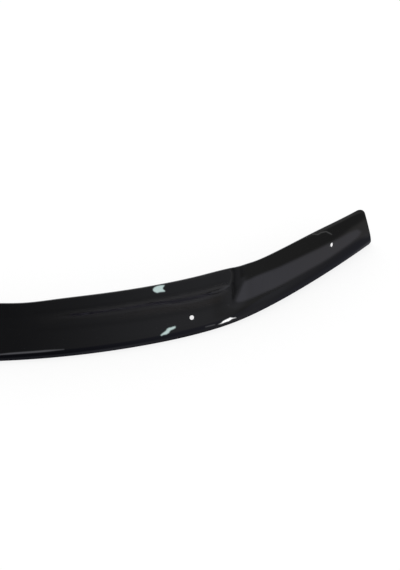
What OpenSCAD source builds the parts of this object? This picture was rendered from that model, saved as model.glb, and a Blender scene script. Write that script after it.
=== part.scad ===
// Hood deflector: one strip of gloss black acrylic sheet, thermoformed to wrap the
// leading edge of a car hood. X runs across the car, Y backwards, Z up. The strip
// stands on its lower edge at Z = 0 and is symmetric about the plane X = 0.

/* [Strip] */
// Half of the width across the hood, along the lower edge
half_width = 693.3; // [660:0.1:730]
// Height of the strip in the middle part, measured along its face
strip_height = 114.8; // [108:0.1:122]
// How much lower the upper edge is at the very middle
centre_dip = 3.3; // [0:0.1:5]
// How much lower the strip is beyond each wing step
shoulder_drop = 5.2; // [0:0.1:9]
// How fast the strip gets lower towards its outer ends, per mm of width
end_taper = 0.098; // [0.02:0.002:0.14]
// Thickness of the acrylic sheet
sheet_t = 3; // [2.5:0.5:4]

/* [Plan shape] */
// Setback of the plain bow at the ends, as seen from above
bow_depth = 168; // [130:1:190]
// Extra turn of each wing beyond the bow, in degrees
wing_turn = 15.7; // [8:0.1:20]
// Distance from the middle to the corner where the wing turns back
corner_x = 380.4; // [350:0.1:410]
// Softness of that corner
corner_soft = 37.5; // [24:0.5:60]

/* [Section] */
// Slope of the lip below the roll, in degrees from level
lip_angle = 97; // [90:1:102]
// Slope of the lower face in the middle part
face_angle = 49; // [45:1:55]
// Slope of the upper face in the middle part, above the soft bend
upper_angle = 65; // [58:1:70]
// Height up the face where the lip starts to roll over
roll_start = 3; // [1:1:8]
// Height up the face where the roll is complete, in the middle part
roll_end = 32; // [28:1:36]
// Distance of the soft bend below the upper edge, in the middle part
bend_drop = 39; // [34:1:44]
// Width of that soft bend
bend_width = 42; // [30:2:50]

/* [Wings] */
// Slope of the lower face in the wings
wing_face_angle = 59.5; // [54:0.5:64]
// Slope of the upper face in the wings
wing_upper_angle = 55; // [52:0.5:66]
// Height up the face where the roll is complete, in the wings
wing_roll_end = 46; // [36:1:50]
// Distance of the wing's bend below the upper edge, behind the step
wing_bend_drop = 27; // [22:1:34]
// How much further down that bend lies towards the end
drop_more = 10; // [0:1:14]
// Width of the wing's bend
wing_bend_width = 30; // [24:2:44]

/* [Wing step] */
// Distance from the middle to the foot of the step
step_x = 368.5; // [350:0.5:380]
// Length of the step at its lower end
step_w = 9; // [8:1:20]
// Outward lean of the step line going up the face
step_lean = 0.29; // [0:0.01:0.4]
// How much longer the step gets going up the face
step_fan = 0.32; // [0.2:0.02:1]
// Height up the face where the step starts
step_s = 44; // [38:1:50]

/* [Ends] */
// Inward lean of the end edges going up the face
end_lean = 0.274; // [0:0.002:0.3]
// Radius of the upper end corners
upper_corner_r = 15; // [8:1:20]
// Radius of the lower end corners
lower_corner_r = 8; // [4:1:12]

/* [Fixing holes] */
// Diameter of the four fixing holes
hole_d = 9; // [6:0.5:10]
// Distance of the inner holes from the middle
inner_hole_x = 297.5; // [250:0.5:320]
// Height up the face of the inner holes
inner_hole_s = 39.9; // [36:0.1:50]
// Distance of the outer holes from the middle
outer_hole_x = 601.5; // [560:0.5:620]
// Height up the face of the outer holes
outer_hole_s = 61.1; // [50:0.1:66]

/* [Hidden] */
ds = 1;                       // step of the section table along the face
table_n = 132;                // number of those steps

function clamp01(t) = min(1, max(0, t));
function smooth(t) = let(c = clamp01(t)) c * c * c * (c * (6 * c - 15) + 10);
function softplus(q) = q > 40 ? q : ln(1 + exp(q));
function unit(v) = v / norm(v);

// Plan line of the lower edge
function plan_y(x) = let(a = abs(x))
    bow_depth * pow(a / half_width, 2)
    + tan(wing_turn) * corner_soft
      * (softplus((a - corner_x) / corner_soft) - softplus(-corner_x / corner_soft));

// Height of the strip along its face at station x
function height(x) = let(a = abs(x))
    strip_height - centre_dip * exp(-pow(a / 55, 2))
    - shoulder_drop * smooth((a - 322) / 122)
    - end_taper * 40 * softplus((a - 560) / 40);

// How far the face is drawn inwards going up towards the ends
function lean(x, s) = end_lean * s * smooth((x - 480) / 214);

// Share of the wing's section: a broad change in the roll, and above it the step,
// which starts narrow at its foot and fans out towards the upper edge
function broad(a) = smooth((a - 340) / 120);
function wing_share(a, s) = let(
    u = 5 * softplus((s - step_s) / 5),
    f = smooth((a - step_x - step_lean * u) / (step_w + step_fan * u)),
    g = smooth((s - step_s + 6) / 12))
    broad(a) + (f - broad(a)) * g;

// Slope of the section at height s along the face, with h = height(x)
function slope(x, s, h) = let(
    a = x - lean(x, s),
    w = wing_share(a, s),
    lower = face_angle + (wing_face_angle - face_angle) * w,
    upper = upper_angle + (wing_upper_angle - upper_angle) * w,
    done = roll_end + (wing_roll_end - roll_end) * broad(a),
    width = bend_width + (wing_bend_width - bend_width) * w,
    drop = bend_drop + (wing_bend_drop - bend_drop) * w + drop_more * smooth((a - 420) / 150))
    lip_angle + (lower - lip_angle) * smooth((s - roll_start) / (done - roll_start))
    + (upper - lower) * smooth((s - (h - drop)) / width + 0.5);

// Section table: running [y, z] along the face from the lower edge
function section(x) = let(h = height(x)) [for (i = 0, y = 0, z = 0; i <= table_n;
    a = slope(x, (i + 0.5) * ds, h), y = y + cos(a) * ds, z = z + sin(a) * ds, i = i + 1) [y, z]];
function along(t, s) = let(q = s / ds, i = max(0, min(table_n - 1, floor(q))))
    t[i] + (t[i + 1] - t[i]) * (q - i);

// Point of the outer face at station x (right half) and height s, with t = section(x)
function face(x, s, t) = let(p = along(t, s), w = x - lean(x, s))
    [w, plan_y(w) + p[0], p[1]];

// Outward normal there, with the sections of the neighbouring stations
function normal(x, s, ta, tb, tc) =
    unit(cross(face(x + 1, s, tb) - face(x - 1, s, ta), face(x, s + 1, tc) - face(x, s - 1, tc)));

// Stations, closer together at the wing step and at the end
end_x = half_width - upper_corner_r;
stations = concat([for (i = [0 : 13]) 345 * i / 14],
                  [for (i = [0 : 3]) 345 + (step_x - 2 - 345) * i / 4],
                  [for (i = [0 : 17]) step_x - 2 + 54 * i / 18],
                  [for (i = [0 : 11]) step_x + 52 + (end_x - step_x - 52) * i / 12],
                  [for (i = [0 : 5]) end_x + upper_corner_r * sin(18 * i)]);
n_x = len(stations) - 1;

// Trimmed range of s at a station, with the rounded end corners
function corner_cut(x, r) = let(q = clamp01((x - (half_width - r)) / r)) r * (1 - sqrt(max(0, 1 - q * q)));
function s_low(x) = corner_cut(x, lower_corner_r);
function s_high(x) = height(x) - corner_cut(x, upper_corner_r);

// Shares of the height at which the section is sampled, closer together in the roll
shares = [0, 0.012, 0.05, 0.09, 0.13, 0.17, 0.21, 0.25, 0.30, 0.36, 0.42, 0.49,
          0.56, 0.63, 0.69, 0.75, 0.81, 0.87, 0.93, 0.988, 1];
m = len(shares) - 1;
// How far the skins draw in at the two long edges, which rounds them
function edge_in(k) = (k == 0 || k == m) ? 0.9 : 0;

// One closed ring of points around the sheet at a station of the right half
function ring(x) = let(
    ta = section(x - 1), tb = section(x + 1), tc = section(x),
    lo = s_low(x), hi = s_high(x),
    g = max(0, x - (half_width - 1)) * 0.9,
    p = [for (k = shares) face(x, lo + k * (hi - lo), tc)],
    n = [for (k = shares) normal(x, lo + k * (hi - lo), ta, tb, tc)])
    concat([for (k = [0 : m]) p[k] - n[k] * max(edge_in(k), g)],
           [for (k = [m : -1 : 0]) p[k] - n[k] * (sheet_t - max(edge_in(k), g))]);

function flip(r) = [for (p = r) [-p[0], p[1], p[2]]];
right = [for (x = stations) ring(x)];
rings = concat([for (i = [n_x : -1 : 1]) flip(right[i])], right);
points = [for (r = rings) for (p = r) p];
ring_n = 2 * len(shares);
ys = [for (p = points) p[1]];
y_mid = (min(ys) + max(ys)) / 2;
z_low = min([for (p = points) p[2]]);

// Skin of the sheet between neighbouring rings, with strips closing the two ends
skin = [for (i = [0 : len(rings) - 2]) for (j = [0 : ring_n - 1])
    let(a = i * ring_n + j, b = i * ring_n + (j + 1) % ring_n, c = a + ring_n, d = b + ring_n)
    each [[a, b, d], [a, d, c]]];
last = (len(rings) - 1) * ring_n;
cap = [for (k = [0 : m - 1]) let(a = k, b = k + 1, c = ring_n - 1 - k, d = ring_n - 2 - k)
    each [[a, d, b], [a, c, d], [last + a, last + b, last + d], [last + a, last + d, last + c]]];

module sheet() {
    polyhedron(points = points, faces = concat(skin, cap), convexity = 10);
}

// A round hole drilled square to the face
module fixing_hole(x, s) {
    ta = section(x - 1);
    tb = section(x + 1);
    tc = section(x);
    n = normal(x, s, ta, tb, tc);
    translate(face(x, s, tc) - n * sheet_t / 2)
        rotate([0, acos(n[2]), atan2(n[1], n[0])])
            cylinder(h = sheet_t * 4, d = hole_d, center = true, $fn = 48);
}

module fixing_holes() {
    fixing_hole(inner_hole_x, inner_hole_s);
    fixing_hole(outer_hole_x, outer_hole_s);
}

module deflector() {
    color([0.02, 0.02, 0.025])
    translate([0, -y_mid, -z_low])
        difference() {
            sheet();
            fixing_holes();
            mirror([1, 0, 0]) fixing_holes();
        }
}

deflector();
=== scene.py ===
import math
import bpy
import numpy as np
from mathutils import Matrix, Vector


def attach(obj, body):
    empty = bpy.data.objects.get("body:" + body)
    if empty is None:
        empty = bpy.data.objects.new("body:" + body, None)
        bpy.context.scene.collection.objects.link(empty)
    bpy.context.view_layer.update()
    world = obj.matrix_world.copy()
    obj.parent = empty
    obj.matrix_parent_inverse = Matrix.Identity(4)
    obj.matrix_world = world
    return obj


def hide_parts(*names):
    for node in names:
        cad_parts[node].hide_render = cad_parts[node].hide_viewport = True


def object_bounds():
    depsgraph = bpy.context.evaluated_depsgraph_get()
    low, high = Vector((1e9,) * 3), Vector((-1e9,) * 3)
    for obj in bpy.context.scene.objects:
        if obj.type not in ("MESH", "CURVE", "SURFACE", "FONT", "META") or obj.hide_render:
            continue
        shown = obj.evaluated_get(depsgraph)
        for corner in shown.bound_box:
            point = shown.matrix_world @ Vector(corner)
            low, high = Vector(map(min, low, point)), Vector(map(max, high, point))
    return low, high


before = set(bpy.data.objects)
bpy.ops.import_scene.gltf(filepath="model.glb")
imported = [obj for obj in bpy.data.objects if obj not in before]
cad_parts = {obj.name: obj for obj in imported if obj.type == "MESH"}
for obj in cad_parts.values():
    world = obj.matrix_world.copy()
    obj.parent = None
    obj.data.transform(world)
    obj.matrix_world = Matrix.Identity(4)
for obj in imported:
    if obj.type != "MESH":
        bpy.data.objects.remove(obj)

CAD_LO, CAD_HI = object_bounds()

# ---------------------------------------------------------------------------
# The strip's surface, in millimetres: x is the station across the hood, s the
# height up the face. The same rules as the construction, evaluated finely.
# ---------------------------------------------------------------------------
HALF = 693.3
END = 696.3
SHEET = 3.0
HOLES = [(297.5, 39.9), (601.5, 61.1)]
HOLE_R = 4.1


def smooth(t):
    c = np.clip(t, 0.0, 1.0)
    return c * c * c * (c * (6 * c - 15) + 10)


def softplus(q):
    return np.logaddexp(0.0, q)


def plan_y(x):
    a = np.abs(x)
    return 168.0 * (a / HALF) ** 2 + math.tan(math.radians(15.7)) * 37.5 * (
        softplus((a - 380.4) / 37.5) - softplus(-380.4 / 37.5))


def height(x):
    a = np.abs(x)
    return (114.8 - 3.3 * np.exp(-(a / 55.0) ** 2) - 5.2 * smooth((a - 322.0) / 122.0)
            - 0.098 * 40.0 * softplus((a - 560.0) / 40.0))


def lean(x, s):
    return 0.274 * s * smooth((np.abs(x) - 480.0) / 214.0)


def broad(a):
    return smooth((a - 340.0) / 120.0)


def wing_share(a, s):
    u = 5 * softplus((s - 44.0) / 5.0)
    f = smooth((a - 370.5 - 0.30 * u - 0.0018 * u * u) / (9.0 + 0.32 * u))
    g = smooth((s - 38.0) / 12.0)
    return broad(a) + (f - broad(a)) * g


def slope(x, s):
    a = np.abs(x) - lean(x, s)
    w = wing_share(a, s)
    lower = 49.0 + 10.5 * w
    upper = 65.0 - 10.0 * w
    roll_end = 32.0 + 14.0 * broad(a)
    bend = 42.0 - 12.0 * w
    drop = 39.0 - 12.0 * w + 10.0 * smooth((a - 420.0) / 150.0)
    return 97.0 + (lower - 97.0) * smooth((s - 3.0) / (roll_end - 3.0)) + (upper - lower) * smooth(
        (s - (height(x) - drop)) / bend + 0.5)


STEP, STEPS = 2.0, 70


def face(a, s):
    """Points of the outer face for arrays a (n, 1) and s (n, m)."""
    a = np.atleast_2d(a).astype(float)
    s = np.atleast_2d(s).astype(float)
    if a.shape[0] != s.shape[0]:
        a = np.broadcast_to(a, (s.shape[0], 1))
    knots = np.arange(2 * STEPS + 1) * STEP / 2
    ang = np.radians(slope(a, knots[None, :]))
    co, si = np.cos(ang), np.sin(ang)

    def run(v):
        seg = (v[:, 0:-2:2] + 4 * v[:, 1:-1:2] + v[:, 2::2]) * STEP / 6
        return np.concatenate([np.zeros((len(v), 1)), np.cumsum(seg, 1)], 1)

    ty, tz = run(co), run(si)
    i = np.clip(np.floor(s / STEP).astype(int), 0, STEPS - 1)
    f = s / STEP - i
    h00, h10, h01, h11 = 2 * f**3 - 3 * f**2 + 1, f**3 - 2 * f**2 + f, -2 * f**3 + 3 * f**2, f**3 - f**2

    def take(t, d):
        r = np.arange(len(t))[:, None]
        return h00 * t[r, i] + h10 * STEP * d[r, 2 * i] + h01 * t[r, i + 1] + h11 * STEP * d[r, 2 * i + 2]

    x = a - np.sign(a) * lean(a, s)
    return np.stack([x, plan_y(x) + take(ty, co), take(tz, si)], -1)


def normal(a, s, e=0.3):
    a = np.atleast_2d(a).astype(float)
    s = np.atleast_2d(s).astype(float)
    n = np.cross(face(a + e, s) - face(a - e, s), face(a, s + e) - face(a, s - e))
    return n / np.linalg.norm(n, axis=-1, keepdims=True)


def inner(a, s):
    return face(a, s) - SHEET * normal(a, s)


# ---------------------------------------------------------------------------
# Mesh of the sheet: right half, then mirrored
# ---------------------------------------------------------------------------
EDGE = 0.9
RIM = 5


class Net:
    def __init__(self):
        self.p, self.n, self.m, self.f = [], [], [], []
        self.count = 0

    def add(self, p, n, m):
        p, n, m = (np.asarray(v, float).reshape(-1, 3) for v in (p, n, m))
        self.p.append(p)
        self.n.append(np.broadcast_to(n, p.shape))
        self.m.append(np.broadcast_to(m, p.shape))
        first = self.count
        self.count += len(p)
        return np.arange(first, self.count)

    def strip(self, a, b, closed=False):
        k = len(a)
        for i in range(k if closed else k - 1):
            j = (i + 1) % k
            self.f.append((int(a[i]), int(a[j]), int(b[j]), int(b[i])))


def stations():
    r = 15.0 - EDGE
    end = END - EDGE
    parts = [np.linspace(0, 285, 66)[:-1], np.linspace(285, 310, 14)[:-1], np.linspace(310, 345, 10)[:-1],
             np.linspace(345, 364, 9)[:-1],
             np.linspace(364, 422, 49)[:-1], np.linspace(422, 440, 8)[:-1], np.linspace(440, 588, 38)[:-1], np.linspace(588, 614, 14)[:-1],
             np.linspace(614, end - r, 18)[:-1], end - r + r * np.sin(np.radians(np.linspace(0, 90, 16)))]
    return np.concatenate(parts)


def cut(a, r):
    r = r - EDGE
    q = np.clip((a - (END - EDGE - r)) / r, 0, 1)
    return r * (1 - np.sqrt(np.maximum(0, 1 - q * q)))


def shares():
    """Shares of the height, closer together in the roll."""
    d = np.concatenate([np.full(6, 0.9), np.full(22, 1.25), np.full(46, 1.75)])
    k = np.concatenate([[0], np.cumsum(d)])
    return k / k[-1]


def ring_params(fn, c, e1, e2, rho, phi, guess):
    """Where on surface fn the circle of radius rho round the hole's axis runs."""
    q = np.tile(np.array(guess, float), (len(phi), 1))
    target = np.stack([rho * np.cos(phi), rho * np.sin(phi)], -1)

    def res(q):
        d = fn(q[:, :1], q[:, 1:])[:, 0] - c
        return np.stack([d @ e1, d @ e2], -1) - target

    for _ in range(8):
        r0 = res(q)
        e = 0.2
        ja = (res(q + [e, 0]) - res(q - [e, 0])) / (2 * e)
        js = (res(q + [0, e]) - res(q - [0, e])) / (2 * e)
        det = ja[:, 0] * js[:, 1] - ja[:, 1] * js[:, 0]
        da = (r0[:, 0] * js[:, 1] - r0[:, 1] * js[:, 0]) / det
        ds = (ja[:, 0] * r0[:, 1] - ja[:, 1] * r0[:, 0]) / det
        q = q - np.stack([da, ds], -1)
    return q


def build_sheet():
    net = Net()
    xs, ks = stations(), shares()
    lo = EDGE + cut(xs, 8.0)
    hi = height(xs) - EDGE - cut(xs, 15.0)
    S = lo[:, None] + (hi - lo)[:, None] * ks[None, :]
    A = xs[:, None]
    P, N = face(A, S), normal(A, S)
    ni, nj = S.shape
    idx_o = net.add(P, N, N).reshape(ni, nj)
    idx_i = net.add(P - SHEET * N, -N, N).reshape(ni, nj)
    skip = np.zeros((ni - 1, nj - 1), bool)

    for hx, hs in HOLES:
        c = face([[hx]], [[hs]])[0, 0]
        n = normal([[hx]], [[hs]])[0, 0]
        e1 = np.cross([0, 0, 1.0], n); e1 /= np.linalg.norm(e1)
        e2 = np.cross(n, e1)
        i0 = np.searchsorted(xs, hx - 9.0) - 1
        i1 = np.searchsorted(xs, hx + 9.0)
        row = S[(i0 + i1) // 2]
        j0 = np.searchsorted(row, hs - 9.5) - 1
        j1 = np.searchsorted(row, hs + 9.5)
        skip[i0:i1, j0:j1] = True
        loop = ([(i, j0) for i in range(i0, i1)] + [(i1, j) for j in range(j0, j1)]
                + [(i, j1) for i in range(i1, i0, -1)] + [(i0, j) for j in range(j1, j0, -1)])
        box_q = np.array([[xs[i], S[i, j]] for i, j in loop])
        for side, fn, ring in ((1, face, idx_o), (-1, inner, idx_i)):
            d = fn(box_q[:, :1], box_q[:, 1:])[:, 0] - c
            phi = np.arctan2(d @ e2, d @ e1)
            bev = 0.65
            circ = ring_params(fn, c, e1, e2, HOLE_R + bev, phi, (hx, hs))
            prev = np.array([ring[i, j] for i, j in loop])
            for t in (0.3, 0.55, 0.78, 0.92, 1.0):
                q = box_q * (1 - t) + circ * t
                nn = normal(q[:, :1], q[:, 1:])[:, 0]
                now = net.add(fn(q[:, :1], q[:, 1:])[:, 0], side * nn, nn)
                net.strip(prev, now, True)
                prev = now
            base = fn(circ[:, :1], circ[:, 1:])[:, 0]
            nn = normal(circ[:, :1], circ[:, 1:])[:, 0]
            inward = -(np.cos(phi)[:, None] * e1 + np.sin(phi)[:, None] * e2)
            for al in np.radians([30, 60, 90]):
                pp = base + inward * bev * math.sin(al) - side * n * bev * (1 - math.cos(al))
                now = net.add(pp, side * nn * math.cos(al) + inward * math.sin(al), nn)
                net.strip(prev, now, True)
                prev = now
            if side == 1:
                wall, wall_phi = prev, phi
            else:
                order = np.argsort(np.argsort(wall_phi))
                mid = net.add(0.5 * (np.concatenate(net.p)[wall] + np.concatenate(net.p)[prev]), inward, nn)
                net.strip(wall, mid, True)
                net.strip(mid, prev, True)

    for i in range(ni - 1):
        for j in range(nj - 1):
            if not skip[i, j]:
                for g in (idx_o, idx_i):
                    net.f.append((int(g[i, j]), int(g[i + 1, j]), int(g[i + 1, j + 1]), int(g[i, j + 1])))

    # rounded rim along the lower edge, the end and the upper edge
    chain = [(i, 0) for i in range(ni)] + [(ni - 1, j) for j in range(1, nj)] + [(i, nj - 1) for i in range(ni - 2, -1, -1)]
    B = np.array([P[i, j] for i, j in chain])
    NB = np.array([N[i, j] for i, j in chain])
    T = np.empty_like(B)
    T[1:-1] = B[2:] - B[:-2]
    T[0], T[-1] = (1, 0, 0), (-1, 0, 0)
    O = np.cross(T, NB)
    O /= np.linalg.norm(O, axis=1, keepdims=True)
    back = np.array([P[max(i - 1, 0) if j not in (0, nj - 1) or i == ni - 1 else i, min(max(j, 1), nj - 2)] for i, j in chain])
    if np.sum((B - back) * O) < 0:
        O = -O
    O[0, 0] = O[-1, 0] = 0
    prev = np.array([idx_o[i, j] for i, j in chain])
    for al in np.radians(np.linspace(0, 90, RIM + 1)[1:]):
        now = net.add(B + O * EDGE * math.sin(al) - NB * EDGE * (1 - math.cos(al)), NB * math.cos(al) + O * math.sin(al), NB)
        net.strip(prev, now)
        prev = now
    for al in np.radians(np.linspace(90, 0, RIM + 1)[:-1]):
        now = net.add(B - NB * SHEET + O * EDGE * math.sin(al) + NB * EDGE * (1 - math.cos(al)), -NB * math.cos(al) + O * math.sin(al), NB)
        net.strip(prev, now)
        prev = now
    net.strip(prev, np.array([idx_i[i, j] for i, j in chain]))

    p, n, m = (np.concatenate(v) for v in (net.p, net.n, net.m))
    f = np.array(net.f)
    used = np.unique(f)
    new = np.full(len(p), -1)
    new[used] = np.arange(len(used))
    p, n, m, f = p[used], n[used], m[used], new[f]
    # mirror about x = 0, sharing the seam
    seam = np.abs(p[:, 0]) < 1e-6
    p[seam, 0] = 0
    other = np.where(seam, np.arange(len(p)), 0)
    other[~seam] = len(p) + np.arange((~seam).sum())
    flip = np.array([-1, 1, 1])
    n[seam, 0] = 0
    p2 = np.concatenate([p, p[~seam] * flip])
    n2 = np.concatenate([n, n[~seam] * flip])
    m2 = np.concatenate([m, m[~seam] * flip])
    f2 = np.concatenate([f, other[f][:, ::-1]])
    n2 /= np.linalg.norm(n2, axis=1, keepdims=True)
    # turn each face so that it agrees with its vertices' normals
    e1, e2 = p2[f2[:, 2]] - p2[f2[:, 0]], p2[f2[:, 3]] - p2[f2[:, 1]]
    g = np.cross(e1, e2)
    bad = np.sum(g * n2[f2].sum(1), 1) < 0
    f2[bad] = f2[bad][:, ::-1]
    return p2, n2, m2, f2


def ripple(p):
    """Very faint waviness left by forming: height in mm and its gradient."""
    rng = np.random.RandomState(7)
    w = np.zeros(len(p))
    g = np.zeros_like(p)
    for _ in range(26):
        wave = rng.uniform(45, 190)
        d = rng.normal(size=3) * (1.0, 0.8, 0.9)
        k = d / np.linalg.norm(d) * 2 * math.pi / wave
        a = 0.00011 * wave * rng.uniform(0.4, 1.0)
        ph = rng.uniform(0, 2 * math.pi)
        w += a * np.sin(p @ k + ph)
        g += (a * np.cos(p @ k + ph))[:, None] * k
    return w, g


pts, nrm, sheet_n, quads = build_sheet()
w, gw = ripple(pts)
pts = pts + sheet_n * w[:, None]
nrm = nrm - gw * np.sum(sheet_n * nrm, 1)[:, None]
nrm /= np.linalg.norm(nrm, axis=1, keepdims=True)
OFF = np.array([0.0, CAD_LO[1] * 1000.0 - pts[:, 1].min(), -pts[:, 2].min()])


def mesh_object(name, verts, faces, normals=None):
    me = bpy.data.meshes.new(name)
    me.from_pydata([tuple(v) for v in verts], [], [tuple(int(i) for i in f) for f in faces])
    me.update()
    me.polygons.foreach_set("use_smooth", [True] * len(me.polygons))
    if normals is not None:
        me.normals_split_custom_set_from_vertices([tuple(v) for v in normals])
    ob = bpy.data.objects.new(name, me)
    bpy.context.scene.collection.objects.link(ob)
    return ob


strip = mesh_object("deflector_sheet", (pts + OFF) / 1000.0, quads, nrm)
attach(strip, "root")
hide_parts("deflector")


# ---------------------------------------------------------------------------
# Gloss black acrylic
# ---------------------------------------------------------------------------
def acrylic():
    mat = bpy.data.materials.new("gloss_black_acrylic")
    mat.use_nodes = True
    nt = mat.node_tree
    nodes, links = nt.nodes, nt.links
    bsdf = nodes["Principled BSDF"]
    bsdf.inputs["IOR"].default_value = 1.49
    bsdf.inputs["Metallic"].default_value = 0.0
    tc = nodes.new("ShaderNodeTexCoord")

    def noise(scale, detail, rough=0.5, stretch=None):
        t = nodes.new("ShaderNodeTexNoise")
        t.inputs["Scale"].default_value = scale
        t.inputs["Detail"].default_value = detail
        t.inputs["Roughness"].default_value = rough
        if stretch:
            mp = nodes.new("ShaderNodeMapping")
            mp.inputs["Scale"].default_value = stretch
            mp.inputs["Rotation"].default_value = (0.2, 0.35, 0.5)
            links.new(tc.outputs["Object"], mp.inputs["Vector"])
            links.new(mp.outputs["Vector"], t.inputs["Vector"])
        else:
            links.new(tc.outputs["Object"], t.inputs["Vector"])
        return t

    def ramp(src, lo, hi, a, b):
        r = nodes.new("ShaderNodeMapRange")
        r.interpolation_type = "SMOOTHSTEP"
        r.inputs["From Min"].default_value = lo
        r.inputs["From Max"].default_value = hi
        r.inputs["To Min"].default_value = a
        r.inputs["To Max"].default_value = b
        links.new(src, r.inputs["Value"])
        return r.outputs["Result"]

    # fine dust specks and a faint handling haze
    specks = noise(1500.0, 1.0)
    speck = ramp(specks.outputs["Fac"], 0.745, 0.80, 0.0, 1.0)
    haze = noise(9.0, 5.0, 0.6)
    col = nodes.new("ShaderNodeMix")
    col.data_type = "RGBA"
    col.inputs["A"].default_value = (0.0008, 0.0008, 0.0010, 1)
    col.inputs["B"].default_value = (0.030, 0.030, 0.031, 1)
    links.new(speck, col.inputs["Factor"])
    links.new(col.outputs["Result"], bsdf.inputs["Base Color"])
    base_r = ramp(haze.outputs["Fac"], 0.35, 0.75, 0.030, 0.060)
    add = nodes.new("ShaderNodeMath")
    add.operation = "MULTIPLY_ADD"
    links.new(speck, add.inputs[0])
    add.inputs[1].default_value = 0.25
    links.new(base_r, add.inputs[2])
    links.new(add.outputs["Value"], bsdf.inputs["Roughness"])
    # hairline wiping marks and the sheet's faint orange peel
    lines = noise(260.0, 2.0, 0.5, (0.05, 1.0, 1.0))
    peel = noise(140.0, 2.0, 0.4)
    b1 = nodes.new("ShaderNodeBump")
    b1.inputs["Strength"].default_value = 0.02
    b1.inputs["Distance"].default_value = 0.0002
    links.new(lines.outputs["Fac"], b1.inputs["Height"])
    b2 = nodes.new("ShaderNodeBump")
    b2.inputs["Strength"].default_value = 0.03
    b2.inputs["Distance"].default_value = 0.0003
    links.new(peel.outputs["Fac"], b2.inputs["Height"])
    links.new(b1.outputs["Normal"], b2.inputs["Normal"])
    links.new(b2.outputs["Normal"], bsdf.inputs["Normal"])
    return mat


strip.data.materials.append(acrylic())


# ---------------------------------------------------------------------------
# Camera, at the picture's viewing angle
# ---------------------------------------------------------------------------
def to_row(p):
    return (np.asarray(p, float) + OFF) / 1000.0


EL, AZ, DIST = math.radians(45.0), math.radians(5.0), 1450.0
LOOK = np.array([math.sin(AZ) * math.cos(EL), math.cos(AZ) * math.cos(EL), -math.sin(EL)])
RIGHT = np.array([math.cos(AZ), -math.sin(AZ), 0.0])
UP = np.cross(RIGHT, LOOK)
TARGET = np.array([322.84, 163.72, 0.0])
EYE = TARGET - LOOK * DIST

cam_data = bpy.data.cameras.new("camera")
cam_data.sensor_width = 36.0
cam_data.lens = 725.0 / 570.0 * 36.0
cam_data.clip_start, cam_data.clip_end = 0.05, 100.0
cam = bpy.data.objects.new("camera", cam_data)
bpy.context.scene.collection.objects.link(cam)
m = Matrix.Identity(4)
for r in range(3):
    m[r][0], m[r][1], m[r][2] = RIGHT[r], UP[r], -LOOK[r]
    m[r][3] = to_row(EYE)[r]
cam.matrix_world = m
bpy.context.scene.camera = cam


# ---------------------------------------------------------------------------
# Floor, room and light
# ---------------------------------------------------------------------------
def plain(name, colour, emit=0.0):
    mat = bpy.data.materials.new(name)
    mat.use_nodes = True
    b = mat.node_tree.nodes["Principled BSDF"]
    b.inputs["Base Color"].default_value = (*colour, 1)
    b.inputs["Roughness"].default_value = 0.9
    b.inputs["Specular IOR Level"].default_value = 0.0
    b.inputs["Emission Color"].default_value = (1, 1, 1, 1)
    b.inputs["Emission Strength"].default_value = emit
    return mat


R = 60.0
floor = mesh_object("floor", [(-R, -R, 0), (R, -R, 0), (R, R, 0), (-R, R, 0)], [(0, 1, 2, 3)])
floor.data.materials.append(plain("pale_floor", (0.3, 0.3, 0.3), 0.72))
floor.visible_glossy = False

world = bpy.data.worlds.new("studio")
bpy.context.scene.world = world
world.use_nodes = True
nt = world.node_tree
nt.nodes.clear()
out = nt.nodes.new("ShaderNodeOutputWorld")
path = nt.nodes.new("ShaderNodeLightPath")
geo = nt.nodes.new("ShaderNodeTexCoord")
sep = nt.nodes.new("ShaderNodeSeparateXYZ")
nt.links.new(geo.outputs["Generated"], sep.inputs["Vector"])


def stops(src, lo, hi, table):
    mr = nt.nodes.new("ShaderNodeMapRange")
    mr.inputs["From Min"].default_value = lo
    mr.inputs["From Max"].default_value = hi
    nt.links.new(src, mr.inputs["Value"])
    cr = nt.nodes.new("ShaderNodeValToRGB")
    cr.color_ramp.interpolation = "LINEAR"
    el = cr.color_ramp.elements
    while len(el) > 1:
        el.remove(el[-1])
    for k, (t, c) in enumerate(table):
        e = el[0] if k == 0 else el.new((t - lo) / (hi - lo))
        e.position = (t - lo) / (hi - lo)
        e.color = (*c, 1)
    nt.links.new(mr.outputs["Result"], cr.inputs["Fac"])
    return cr.outputs["Color"]


def math_node(op, a, b=None):
    k = nt.nodes.new("ShaderNodeMath")
    k.operation = op
    for i, v in enumerate((a, b)):
        if isinstance(v, (int, float)):
            k.inputs[i].default_value = v
        elif v is not None:
            nt.links.new(v, k.inputs[i])
    return k.outputs["Value"]


def times(kind, a, b, fac=None):
    k = nt.nodes.new("ShaderNodeMix")
    k.data_type = "RGBA"
    k.blend_type = kind
    if fac is None:
        k.inputs["Factor"].default_value = 1.0
    else:
        nt.links.new(fac, k.inputs["Factor"])
    nt.links.new(a, k.inputs["A"])
    nt.links.new(b, k.inputs["B"])
    return k.outputs["Result"]


def grey(v, blue=1.0):
    return (v / blue ** 0.5, v / blue ** 0.4, v * blue ** 0.5)


# compass angle of the direction, 0 straight ahead of the strip and 90 to its right
turn = math_node("ARCTAN2", sep.outputs["X"], math_node("MULTIPLY", sep.outputs["Y"], -1.0))
degrees = math_node("MULTIPLY", turn, 180.0 / math.pi)
rise = sep.outputs["Z"]

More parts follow.
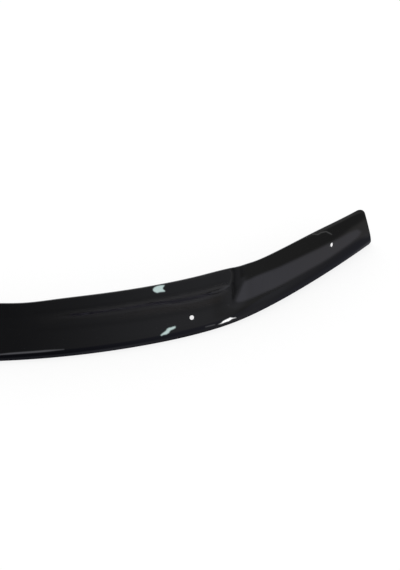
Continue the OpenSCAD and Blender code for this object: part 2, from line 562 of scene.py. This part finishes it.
wall = stops(degrees, -180, 180, [(t, grey(v, b)) for t, v, b in (
    (-180, 0.95, 1.04), (-130, 0.75, 1.04), (-100, 0.36, 1.04), (-80, 0.38, 1.04), (-66, 0.85, 1.04), (-54, 1.5, 1.04), (-44, 1.0, 1.05), (-34, 0.34, 1.06), (-25, 0.16, 1.08), (-14, 0.17, 1.08), (-9, 0.20, 1.08), (-3, 0.25, 1.08),
    (4, 0.315, 1.09), (10, 0.38, 1.09), (15, 0.43, 1.09), (22, 0.465, 1.09), (30, 0.50, 1.09), (34, 0.485, 1.07), (36.5, 0.39, 1.03), (39, 0.315, 1.0),
    (50, 0.31, 0.99), (60, 0.28, 0.99), (68, 0.26, 0.98), (76, 0.22, 0.99), (100, 0.22, 1.0), (130, 0.80, 1.04), (180, 0.95, 1.04))])
ground = stops(degrees, -180, 180, [(t, grey(v, b)) for t, v, b in (
    (-180, 1.5, 1.06), (-130, 1.1, 1.06), (-100, 0.42, 1.08), (-70, 0.45, 1.08), (-45, 0.33, 1.2), (-27, 0.07, 1.5), (-8, 0.075, 1.5), (4, 0.155, 1.42), (15, 0.22, 1.36),
    (28, 0.27, 1.33), (50, 0.34, 1.15), (62, 0.33, 1.13), (72, 0.23, 1.15), (80, 0.19, 1.25), (100, 0.15, 1.3), (130, 1.2, 1.06), (180, 1.5, 1.06))])
deep = stops(degrees, -180, 180, [(t, grey(v, b)) for t, v, b in (
    (-180, 1.9, 1.04), (-130, 1.4, 1.04), (-100, 0.55, 1.08), (-70, 0.45, 1.08), (-45, 0.30, 1.2), (-27, 0.12, 1.3), (-15, 0.17, 1.3), (-8, 0.17, 1.3), (3, 0.26, 1.26), (14, 0.24, 1.2),
    (22, 0.21, 1.2), (34, 0.17, 1.2), (50, 0.18, 1.15), (69, 0.20, 1.15), (78, 0.16, 1.2), (90, 0.10, 1.3), (104, 0.10, 1.3), (130, 1.6, 1.04), (180, 1.9, 1.04))])
sky = stops(rise, -1, 1, [(t, (v, v, v)) for t, v in (
    (-1, 0.90), (0.07, 0.90), (0.13, 0.97), (0.30, 0.96), (0.42, 0.96), (0.50, 1.0), (0.75, 0.95), (1, 1.1))])
earth = stops(rise, -1, 1, [(t, (v, v, v)) for t, v in (
    (-1, 0.8), (-0.74, 0.8), (-0.60, 0.80), (-0.40, 1.0), (-0.17, 1.12), (1, 1.12))])
low_high = math_node("MULTIPLY_ADD", rise, 5.0)
low_high.node.inputs[2].default_value = 0.85
low_high.node.use_clamp = True
steep = math_node("MULTIPLY_ADD", rise, -11.0)
steep.node.inputs[2].default_value = -8.47
steep.node.use_clamp = True
below = times("MIX", times("MULTIPLY", ground, earth), deep, steep)
around = times("MIX", below, times("MULTIPLY", wall, sky), low_high)
# wide soft ceiling panel, above everything that the main view's reflections reach
ceiling = stops(rise, -1, 1, [(t, (v, v, v * 1.02)) for t, v in (
    (-1, 0.0), (0.62, 0.0), (0.68, 0.35), (0.75, 1.3), (0.83, 2.3), (0.92, 2.6), (1, 2.2))])
result = times("ADD", around, ceiling)
room = nt.nodes.new("ShaderNodeBackground")
nt.links.new(result, room.inputs["Color"])
white = nt.nodes.new("ShaderNodeBackground")
white.inputs["Color"].default_value = (1, 1, 1, 1)
white.inputs["Strength"].default_value = 1.0
mix = nt.nodes.new("ShaderNodeMixShader")
nt.links.new(path.outputs["Is Glossy Ray"], mix.inputs["Fac"])
nt.links.new(white.outputs["Background"], mix.inputs[1])
nt.links.new(room.outputs["Background"], mix.inputs[2])
nt.links.new(mix.outputs["Shader"], out.inputs["Surface"])


def glow(name, colour, strength):
    """Adds light, as a painted highlight, where the corner attribute 'lit' is 1 and nothing where it is 0."""
    mat = bpy.data.materials.new(name)
    mat.use_nodes = True
    t = mat.node_tree
    t.nodes.clear()
    o = t.nodes.new("ShaderNodeOutputMaterial")
    em = t.nodes.new("ShaderNodeEmission")
    em.inputs["Color"].default_value = (*colour, 1)
    at = t.nodes.new("ShaderNodeAttribute")
    at.attribute_name = "lit"
    mu = t.nodes.new("ShaderNodeMath")
    mu.operation = "MULTIPLY"
    mu.inputs[1].default_value = strength
    t.links.new(at.outputs["Fac"], mu.inputs[0])
    t.links.new(mu.outputs["Value"], em.inputs["Strength"])
    tr = t.nodes.new("ShaderNodeBsdfTransparent")
    ad = t.nodes.new("ShaderNodeAddShader")
    t.links.new(tr.outputs["BSDF"], ad.inputs[0])
    t.links.new(em.outputs["Emission"], ad.inputs[1])
    t.links.new(ad.outputs["Shader"], o.inputs["Surface"])
    return mat


def veil(name, depth):
    """Takes away the share 'lit' times depth of what lies behind it, as painted shade."""
    mat = bpy.data.materials.new(name)
    mat.use_nodes = True
    t = mat.node_tree
    t.nodes.clear()
    o = t.nodes.new("ShaderNodeOutputMaterial")
    at = t.nodes.new("ShaderNodeAttribute")
    at.attribute_name = "lit"
    mu = t.nodes.new("ShaderNodeMath")
    mu.operation = "MULTIPLY_ADD"
    mu.inputs[1].default_value = -depth
    mu.inputs[2].default_value = 1.0
    t.links.new(at.outputs["Fac"], mu.inputs[0])
    tr = t.nodes.new("ShaderNodeBsdfTransparent")
    t.links.new(mu.outputs["Value"], tr.inputs["Color"])
    t.links.new(tr.outputs["BSDF"], o.inputs["Surface"])
    return mat


def mirrored(a, s, dist):
    """The point dist mm out along the view ray mirrored in the strip at (a, s)."""
    p = face(a[:, None], s[:, None])[:, 0]
    n = normal(a[:, None], s[:, None])[:, 0]
    v = p - EYE
    v /= np.linalg.norm(v, axis=1, keepdims=True)
    r = v - 2 * np.sum(v * n, 1)[:, None] * n
    return p + r * dist


def picture(p):
    """Where a point falls in the picture, in pixels of a 400 by 570 frame."""
    q = p - EYE
    z = q @ LOOK
    return np.stack([200 + 725 * (q @ RIGHT) / z, 285 - 725 * (q @ UP) / z], -1)


grid_x, grid_s = np.meshgrid(np.linspace(-70, 690, 191), np.linspace(0, 112, 57), indexing="ij")
GRID = np.stack([grid_x.ravel(), grid_s.ravel()], -1)
SEEN = picture(np.concatenate([face(gx[:1, None], gs[None, :])[0] for gx, gs in zip(grid_x, grid_s)]))


def on_strip(u):
    """Station and height on the strip that are seen at pixels u (n, 2)."""
    q = GRID[[int(np.argmin(((SEEN - v) ** 2).sum(1))) for v in u]]

    def res(q):
        return picture(face(q[:, :1], q[:, 1:])[:, 0]) - u

    for _ in range(3):
        r0 = res(q)
        ja = (res(q + [0.2, 0]) - r0) / 0.2
        js = (res(q + [0, 0.2]) - r0) / 0.2
        det = ja[:, 0] * js[:, 1] - ja[:, 1] * js[:, 0]
        det = np.where(np.abs(det) < 1e-4, 1e-4, det)
        step = np.stack([r0[:, 0] * js[:, 1] - r0[:, 1] * js[:, 0], ja[:, 0] * r0[:, 1] - ja[:, 1] * r0[:, 0]], -1) / det[:, None]
        q = q - np.clip(step, -4, 4)
    return q


def signed(u, outline):
    """Distance in pixels of points u inside the closed outline, negative outside it."""
    o = np.array(outline, float)
    a, b = o, np.roll(o, -1, 0)
    d = b - a
    w = u[:, None] - a[None]
    t = np.clip(np.sum(w * d, -1) / np.maximum(np.sum(d * d, -1), 1e-9), 0, 1)
    far = np.linalg.norm(w - t[..., None] * d, axis=-1).min(1)
    up = (a[None, :, 1] > u[:, None, 1]) != (b[None, :, 1] > u[:, None, 1])
    xc = a[None, :, 0] + (u[:, None, 1] - a[None, :, 1]) * d[None, :, 0] / np.where(d[:, 1] == 0, 1e-9, d[:, 1])[None]
    return np.where((up & (u[:, None, 0] < xc)).sum(1) % 2 == 1, far, -far)


def card(name, outline, strength, colour=(1, 1, 1), soft=0.8, cell=0.5, dist=60.0, level=None, inset=0.0):
    """A light panel close to the strip whose reflection, seen from the camera, paints a highlight that fills the
    outline with a soft border.

    Negative strength darkens, as painted shade; level gives a share of the strength along the picture's width."""
    o = np.array(outline, float)
    lo, hi = o.min(0) - soft, o.max(0) + soft
    nx, ny = (np.maximum(2, np.ceil((hi - lo) / cell)) + 1).astype(int)
    gx, gy = np.meshgrid(np.linspace(lo[0], hi[0], nx), np.linspace(lo[1], hi[1], ny), indexing="ij")
    u = np.stack([gx.ravel(), gy.ravel()], -1)
    lit = smooth((signed(u, outline) - inset) / soft * 0.5 + 0.5)
    if level:
        lit = lit * np.interp(u[:, 0], [k for k, _ in level], [v for _, v in level])
    lit = lit.reshape(nx, ny)
    use = np.zeros((nx, ny), bool)
    cells = [(i, j) for i in range(nx - 1) for j in range(ny - 1) if lit[i:i + 2, j:j + 2].max() > 0.004]
    for i, j in cells:
        use[i:i + 2, j:j + 2] = True
    q = on_strip(u[use.ravel()])
    v = mirrored(q[:, 0], q[:, 1], dist)
    at = np.full(nx * ny, -1)
    at[use.ravel()] = np.arange(len(q))
    at = at.reshape(nx, ny)
    faces = [(at[i, j], at[i + 1, j], at[i + 1, j + 1], at[i, j + 1]) for i, j in cells]
    ob = mesh_object(name, to_row(v), faces)
    ob.data.attributes.new("lit", "FLOAT", "POINT").data.foreach_set("value", lit.ravel()[use.ravel()])
    ob.data.materials.append(glow(name + "_light", colour, strength) if strength > 0 else veil(name + "_veil", -strength))
    ob.visible_camera = ob.visible_diffuse = ob.visible_shadow = False
    ob.visible_transmission = ob.visible_volume_scatter = False
    return ob


def ribbon(line):
    """Outline of a band along a line of (x, y, half width)."""
    p = np.array(line, float)
    d = np.gradient(p[:, :2], axis=0)
    d /= np.linalg.norm(d, axis=1, keepdims=True)
    side = np.stack([-d[:, 1], d[:, 0]], -1) * p[:, 2:]
    return np.concatenate([p[:, :2] + side, (p[:, :2] - side)[::-1]]).tolist()


# painted reflection: glowing cards just off the wing, seen only in its gloss, lay the soft panel's patch on the wing's
# flat and a faint warm glow in place of the wall that the panel would light
PATCH = [(244.6, 281.6), (250.5, 278.9), (256, 276.2), (270, 270.8), (280, 266.8), (300, 257.5), (320, 248), (340, 238), (350, 232.3),
         (357, 229.5), (361.5, 231.5), (359, 236), (350, 243.5), (345, 247), (330, 257.5), (320, 263.5), (300, 274.6), (285, 282.8),
         (275, 288.1), (262, 293.6), (250, 298.9), (243, 301.2), (238, 302.2), (236, 301.6), (237.4, 297.5), (239.8, 292.5), (242, 287)]
card("panel_wing", PATCH, 1.0, (0.98, 0.97, 1.17), soft=1.6, cell=1.5, dist=16.0,
     level=[(232, 0.53), (238, 0.56), (246, 0.59), (255, 0.63), (265, 0.63), (285, 0.54), (300, 0.455), (320, 0.385), (340, 0.345), (350, 0.34), (360, 0.31)])
card("wing_painted_wall_glow", [(270, 274), (300, 257.6), (320, 247.6), (335, 240), (345, 233), (352, 227.5), (358, 224), (362, 221), (366, 218), (369, 224),
                   (371, 233), (368, 236.5), (360, 238.6), (350, 244.5), (335, 254.5), (320, 264), (300, 276), (285, 285.5), (262, 296)],
     1.0, (1.06, 1.0, 0.94), soft=2.6, cell=1.5, dist=17.0,
     level=[(275, 0.03), (285, 0.05), (300, 0.11), (320, 0.16), (340, 0.19), (350, 0.20), (366, 0.21)])
# painted reflection: a faint glowing band under the wing's patch, in place of the floor, which the gloss doesn't see
card("wing_painted_floor_glow", ribbon([(229, 307.0, 1.2), (236, 306.4, 2.6), (246, 304.0, 3.0), (256, 300.2, 3.0), (268, 295.6, 2.0), (284, 288.5, 1.2)]),
     1.0, (1.0, 1.0, 1.06), soft=2.4, cell=1.2, dist=14.0, level=[(228, 0.03), (236, 0.09), (256, 0.08), (284, 0.03)])
# painted highlight: a thin glowing band just off the wing's upper edge, seen only in the gloss
card("edge_wing", ribbon([(298, 240.6, 0.4), (306, 237.2, 0.7), (312, 234.2, 1.1), (320, 230.7, 1.3), (330, 225.9, 1.3), (340, 220.9, 1.3),
                          (350, 215.6, 1.3), (357, 212.6, 1.3), (361, 212.0, 0.8), (364.5, 213.2, 0.5)]),
     1.0, (1.02, 1.0, 1.0), soft=1.3, cell=0.7, dist=6.0, level=[(298, 0.10), (312, 0.30), (325, 0.36), (350, 0.38), (358, 0.24), (364, 0.10)])
# painted shade: a dimming card darkens the reflection in a narrow band beside the riser
card("riser_dark", [(236.0, 268.0), (243.5, 267.0), (243.4, 275), (241.6, 281), (239.4, 286), (237.4, 290), (236.0, 291), (235.4, 287), (235.2, 280),
                    (235.5, 274)], -0.16, soft=1.4, cell=0.8, dist=6.0)

# window lights, as painted highlights: glowing cards seen only in the gloss put the window reflections, the roll's
# white glint and thin light lines at set places
WINDOW = (0.80, 1.0, 0.975)
card("light_high", [(152.8, 289), (154.4, 287.2), (157, 285.9), (160, 285.3), (163, 285.0), (164.8, 285.0), (164.2, 286.2), (163.3, 287.3),
                    (162.9, 288.6), (163.8, 289.7), (165, 290.4), (165, 291.7), (160, 292.2), (157, 293), (154.5, 292), (153, 290.8)],
     15.0, WINDOW, dist=7.0, inset=0.2)
card("light_low", [(160.3, 335.3), (162, 333.5), (164, 332), (166, 330.5), (167, 328.8), (169, 327.5), (171, 327.2), (173.5, 326.3),
                   (176, 326), (175.7, 328), (173.5, 329.3), (171, 330.3), (170, 331.5), (169, 333), (166.5, 334.5), (163.5, 335), (161.5, 336)],
     15.0, WINDOW, inset=0.25)
card("light_roll", [(217, 324.8), (219, 323.7), (221, 322.6), (222.5, 321), (224, 320), (225.5, 319.3), (227, 318.6), (229, 317.6),
                    (230, 317), (233, 317.4), (236.5, 317), (236.5, 318), (234.5, 318.6), (232, 319.3), (230.5, 320.4), (228.5, 321.6),
                    (226.5, 322.1), (224, 323.1), (221, 324.2), (217, 325.0)], 26.0, soft=0.7, inset=0.6)
card("light_tail", ribbon([(205.5, 327.0, 0.2), (209, 326.1, 0.3), (213, 325.1, 0.3), (215, 324.6, 0.2)]), 1.7, soft=0.7)
card("light_left", ribbon([(-5, 354.9, 0.3), (10, 353.6, 0.7), (30, 352.2, 0.8), (37, 351.7, 0.8), (45, 351.0, 0.8), (52, 350.4, 0.6),
                           (58, 349.9, 0.35), (64, 349.4, 0.2)]), 1.8, (0.97, 0.97, 1.06))
card("light_edge", ribbon([(312, 234, 0.3), (318, 234.5, 0.5), (321, 232.6, 0.5), (326, 231.5, 0.5), (330, 233.5, 0.5), (332, 234.7, 0.3)]),
     1.0, soft=0.55)

# painted reflection: glowing bands just off the soft bend of the middle part stand in for shelves of the room
HIGH = [(50, 315.6), (66, 312.8), (80, 311.6), (100, 309.6), (110, 308.4), (120, 306.9), (130, 305.1), (140, 303.4), (150, 301.6), (160, 300.3),
        (170, 298.9), (180, 297.0), (190, 294.9), (200, 292.6), (210, 290.0), (220, 287.2), (228, 284.9)]
LOW = [(46, 319.6), (64, 317.0), (80, 316.8), (95, 315.4), (110, 313.8), (127, 311.4), (140, 309.2), (150, 307.5), (160, 305.8), (170, 305.2),
       (180, 304.2), (185, 303.3), (195, 301.3), (205, 298.3), (215, 295.3), (222, 293.0), (228, 290.0)]
COOL = (0.95, 0.96, 1.12)
card("bend_painted_band_high", ribbon([(x, y, 1.3) for x, y in HIGH]), 1.0, (1.0, 1.0, 1.02), soft=1.5, dist=6.0,
     level=[(50, 0.0), (70, 0.05), (100, 0.10), (150, 0.15), (200, 0.17), (228, 0.22)])
card("bend_painted_band_low", ribbon([(x, y, 1.1) for x, y in LOW]), 1.0, COOL, soft=1.3, dist=6.6,
     level=[(48, 0.0), (66, 0.08), (100, 0.10), (150, 0.13), (175, 0.20), (205, 0.21), (228, 0.10)])
card("bend_painted_band_back", ribbon([(40, 321, 3.5), (64, 316.5, 4.0), (100, 313.0, 5.0), (150, 305.8, 6.0), (190, 299.0, 6.5), (215, 293, 6.5), (229, 288, 5.0)]),
     1.0, (1.12, 1.0, 0.84), soft=3.0, cell=1.2, dist=7.2, level=[(40, 0.02), (100, 0.05), (150, 0.05), (200, 0.05), (229, 0.04)])
# painted shade: a dimming ribbon darkens the thin line between the two bright bands
card("gap", ribbon([(64, 314.6, 0.5), (76, 314.6, 0.9), (81, 313.2, 0.5), (87, 312.4, 0.6), (91, 312.9, 0.8), (97, 312.2, 0.5), (110, 310.6, 0.5),
                    (127, 308.1, 0.5), (137, 306.1, 0.5), (145, 304.7, 0.8), (154, 303.3, 0.9), (165, 302.2, 0.9), (173, 301.7, 1.2),
                    (180, 300.5, 1.0), (187, 299.2, 1.0), (195, 298.0, 0.9), (200, 296.7, 0.6), (206, 294.4, 0.5)]),
     -1.0, soft=0.9, dist=5.6, level=[(64, 0.12), (76, 0.36), (82, 0.16), (91, 0.34), (97, 0.16), (140, 0.14), (146, 0.22), (160, 0.22), (173, 0.30),
                                       (197, 0.30), (206, 0.16)])
# painted reflection: a faint violet glow along the dark line
card("gap_painted_violet_glow", ribbon([(70, 314.9, 0.8), (84, 314.0, 1.0), (97, 312.2, 0.8), (127, 308.1, 0.8), (145, 304.9, 1.2), (160, 302.9, 1.4), (173, 301.7, 1.5),
                         (187, 299.2, 1.4), (200, 296.4, 1.2), (212, 293.6, 1.0)]), 0.05, (0.7, 0.35, 2.6), soft=1.2, cell=0.8, dist=6.3)
# painted reflection: a faint warm glow across the bend
card("bend_painted_warm_glow", ribbon([(120, 318.0, 2.0), (150, 311.5, 2.6), (176, 308.4, 3.2), (200, 304.6, 3.2), (216, 300.5, 2.6), (224, 297.5, 1.6)]),
     1.0, (1.5, 0.7, 0.1), soft=2.4, cell=1.2, dist=7.5, level=[(120, 0.01), (150, 0.02), (190, 0.03), (216, 0.035), (226, 0.01)])
# painted reflection: small glowing and dimming cards draw the eye-shaped mark and the loop near the riser
card("eye", [(80.5, 314.6), (83, 313.4), (87, 313.0), (88.5, 313.6), (86, 314.4), (83, 314.9)], 0.22, COOL, soft=0.7, dist=5.8)
card("eye_lid", ribbon([(74, 315.6, 0.4), (79, 315.6, 0.5), (84, 315.2, 0.5), (88, 314.2, 0.5), (93, 313.4, 0.4)]), -0.20, soft=0.7, dist=5.4)
card("loop", ribbon([(218.8, 289.0, 0.5), (215, 290.4, 0.45), (211, 291.8, 0.45), (207.4, 293.0, 0.5), (206.8, 294.0, 0.5), (209, 294.9, 0.45),
                     (213, 294.2, 0.45), (217, 293.0, 0.45), (221.5, 291.5, 0.4)]), -0.42, soft=0.6, cell=0.4, dist=5.2)
card("loop_fill", ribbon([(211, 293.3, 0.4), (215, 292.2, 0.7), (219, 290.9, 0.7), (223, 289.3, 1.0), (226, 287.5, 1.2), (228.6, 285.9, 0.6)]),
     0.38, COOL, soft=0.9, dist=4.8)
card("shade_under", ribbon([(34, 330, 2.0), (60, 328.6, 2.0), (80, 326.6, 2.0), (100, 324.4, 2.0), (125, 321.6, 2.0), (150, 318.2, 2.0),
                            (175, 313.6, 2.0), (200, 310.0, 2.0), (215, 306.0, 1.5), (226, 302, 1.0)]),
     -1.0, soft=3.2, cell=1.2, dist=8.2, level=[(34, 0.05), (60, 0.10), (100, 0.14), (150, 0.17), (200, 0.17), (226, 0.10)])
card("shade_over", ribbon([(34, 312.5, 1.5), (60, 310.4, 1.0), (80, 308.2, 1.0), (100, 305.0, 0.9), (125, 301.8, 0.9), (150, 297.3, 0.9),
                           (175, 293.5, 0.9), (190, 290.4, 0.9), (200, 287.8, 0.9), (215, 284.0, 0.9), (226, 281.0, 0.7)]),
     -0.12, soft=1.6, cell=0.8, dist=7.8)
# painted highlights: faint glowing lines along the top edge, beside the riser and at its foot, and a small dot below
card("edge_top", ribbon([(60, 300.0, 0.4), (100, 295.0, 0.5), (150, 287.2, 0.5), (200, 277.6, 0.5), (215, 273.6, 0.5), (226, 271.0, 0.4)]),
     1.0, soft=0.9, cell=0.7, dist=8.0, level=[(60, 0.05), (100, 0.06), (150, 0.12), (200, 0.10), (226, 0.05)])
card("edge_riser", ribbon([(229.4, 269.6, 0.5), (231.4, 272.5, 0.6), (231.7, 276, 0.7), (231.2, 279.5, 0.7), (230.4, 282.5, 0.6), (229.2, 285, 0.5)]),
     0.30, soft=1.0, cell=0.4, dist=5.0)
card("foot_high", ribbon([(232.5, 270.5, 0.6), (233.0, 274, 0.7), (233.0, 278, 0.7), (232.6, 282, 0.5)]), 0.21, soft=1.1, cell=0.5, dist=5.4)
card("foot_low", ribbon([(232.4, 284, 0.5), (233.2, 288, 0.7), (233.6, 292, 0.7), (233.8, 296, 0.5)]), 0.12, soft=1.1, cell=0.5, dist=5.6)
card("dot", [(227.2, 305.4), (227.8, 304.4), (228.9, 304.4), (229.5, 305.3), (228.9, 306.3), (227.8, 306.3)], 0.12, soft=0.9, dist=12.0)

# ---------------------------------------------------------------------------
sc = bpy.context.scene
sc.view_settings.view_transform = "Standard"
sc.view_settings.look = "None"
sc.view_settings.exposure = 0.0
sc.view_settings.gamma = 1.0

bpy.context.view_layer.update()
